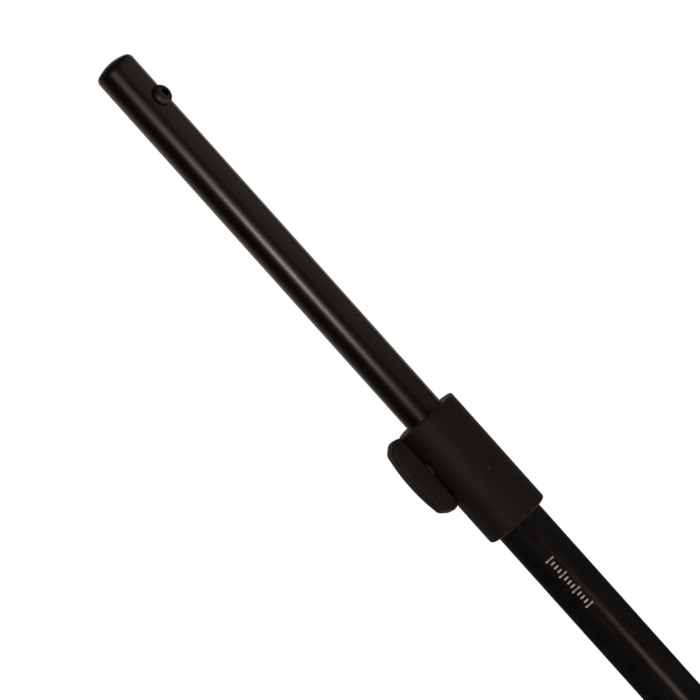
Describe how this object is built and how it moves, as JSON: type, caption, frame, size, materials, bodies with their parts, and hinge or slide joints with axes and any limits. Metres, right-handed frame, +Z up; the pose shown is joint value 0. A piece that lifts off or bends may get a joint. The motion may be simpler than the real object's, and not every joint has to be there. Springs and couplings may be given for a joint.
{
  "type": "music stand",
  "caption": "Telescopic round column with a wing-knob clamp collar and a domed top end, on a folding braced tripod with rubber feet.",
  "frame": {"origin": "on the column's axis, at the floor that the feet stand on", "axes": "+Z up along the column; the clamp knobs point along -X; the first leg points along +X"},
  "size_m": [0.5598, 0.6432, 0.9067],
  "materials": {
    "painted_tube": "satin black stoved paint",
    "black_nylon": "matte moulded black nylon",
    "black_plug": "satin moulded black plastic",
    "black_steel": "black oxide steel",
    "zinc_steel": "bright zinc-plated steel",
    "brass": "turned brass",
    "natural_nylon": "natural nylon",
    "black_rubber": "matte black rubber"
  },
  "bodies": {
    "column": {"outer_tube": "painted_tube", "guide_sleeve": "natural_nylon", "clamp_collar": "black_nylon", "clamp_insert": "brass", "collar_screw": "black_steel", "hub": "black_nylon", "hub_screws": "black_steel", "bottom_cap": "black_rubber", "brace_hinge_pins": "zinc_steel"},
    "slide_bush": {"inner_guide_bush": "natural_nylon"},
    "upper_column": {"inner_tube": "painted_tube", "end_plug": "black_plug", "locating_screw": "black_steel"},
    "clamp_shoe": {"clamp_pad": "natural_nylon"},
    "clamp_wing": {"clamp_knob": "black_nylon", "clamp_knob_stud": "zinc_steel"},
    "leg_slider": {"slider": "black_nylon", "slider_insert": "brass", "leg_hinge_pins": "zinc_steel"},
    "slider_shoe": {"slider_pad": "natural_nylon"},
    "slider_wing": {"slider_knob": "black_nylon", "slider_knob_stud": "zinc_steel"},
    "leg_1": {"leg_1_tube": "painted_tube", "leg_1_lug": "black_nylon", "leg_1_foot": "black_rubber"},
    "brace_1": {"brace_1_left_strap": "painted_tube", "brace_1_right_strap": "painted_tube", "brace_1_rivets": "zinc_steel"},
    "leg_2": {"leg_2_tube": "painted_tube", "leg_2_lug": "black_nylon", "leg_2_foot": "black_rubber"},
    "brace_2": {"brace_2_left_strap": "painted_tube", "brace_2_right_strap": "painted_tube", "brace_2_rivets": "zinc_steel"},
    "leg_3": {"leg_3_tube": "painted_tube", "leg_3_lug": "black_nylon", "leg_3_foot": "black_rubber"},
    "brace_3": {"brace_3_left_strap": "painted_tube", "brace_3_right_strap": "painted_tube", "brace_3_rivets": "zinc_steel"}
  },
  "joints": [
    {"name": "height_slide", "type": "slide", "parent": "column", "child": "slide_bush", "axis": [0, 0, 1], "range_m": [-0.18, 0.26]},
    {"name": "tube_swivel", "type": "hinge", "parent": "slide_bush", "child": "upper_column", "pos_m": [0, 0, 0.34], "axis": [0, 0, 1], "continuous": true},
    {"name": "clamp_pad_travel", "type": "slide", "parent": "column", "child": "clamp_shoe", "axis": [-1, 0, 0], "range_m": [0, 0.001]},
    {"name": "clamp_knob_turn", "type": "hinge", "parent": "clamp_shoe", "child": "clamp_wing", "pos_m": [-0.01805, 0, 0.66065], "axis": [-1, 0, 0], "range_deg": [0, 360]},
    {"name": "fold_slide", "type": "slide", "parent": "column", "child": "leg_slider", "axis": [0, 0, 1], "range_m": [0, 0.14369]},
    {"name": "slider_pad_travel", "type": "slide", "parent": "leg_slider", "child": "slider_shoe", "axis": [-1, 0, 0], "range_m": [0, 0.001]},
    {"name": "slider_knob_turn", "type": "hinge", "parent": "slider_shoe", "child": "slider_wing", "pos_m": [-0.02105, 0, 0.26902], "axis": [-1, 0, 0], "range_deg": [0, 360]},
    {"name": "leg_1_fold", "type": "hinge", "parent": "leg_slider", "child": "leg_1", "pos_m": [0.03, 0, 0.23502], "axis": [0, 1, 0], "range_deg": [0, 50]},
    {"name": "brace_1_fold", "type": "hinge", "parent": "column", "child": "brace_1", "pos_m": [0.03, 0, 0.04], "axis": [0, -1, 0], "range_deg": [0, 50]},
    {"name": "leg_2_fold", "type": "hinge", "parent": "leg_slider", "child": "leg_2", "pos_m": [-0.015, 0.02598, 0.23502], "axis": [-0.866, -0.5, 0], "range_deg": [0, 50]},
    {"name": "brace_2_fold", "type": "hinge", "parent": "column", "child": "brace_2", "pos_m": [-0.015, 0.02598, 0.04], "axis": [0.866, 0.5, 0], "range_deg": [0, 50]},
    {"name": "leg_3_fold", "type": "hinge", "parent": "leg_slider", "child": "leg_3", "pos_m": [-0.015, -0.02598, 0.23502], "axis": [0.866, -0.5, 0], "range_deg": [0, 50]},
    {"name": "brace_3_fold", "type": "hinge", "parent": "column", "child": "brace_3", "pos_m": [-0.015, -0.02598, 0.04], "axis": [-0.866, 0.5, 0], "range_deg": [0, 50]}
  ],
  "couplings": [
    {"joint": "clamp_pad_travel", "follows": "clamp_knob_turn", "m_per_rad": 0.00015915},
    {"joint": "slider_pad_travel", "follows": "slider_knob_turn", "m_per_rad": 0.00015915},
    {"joint": "leg_1_fold", "follows": "fold_slide", "rad_per_m": 6.0732},
    {"joint": "brace_1_fold", "follows": "fold_slide", "rad_per_m": 6.0732},
    {"joint": "leg_2_fold", "follows": "fold_slide", "rad_per_m": 6.0732},
    {"joint": "brace_2_fold", "follows": "fold_slide", "rad_per_m": 6.0732},
    {"joint": "leg_3_fold", "follows": "fold_slide", "rad_per_m": 6.0732},
    {"joint": "brace_3_fold", "follows": "fold_slide", "rad_per_m": 6.0732}
  ]
}
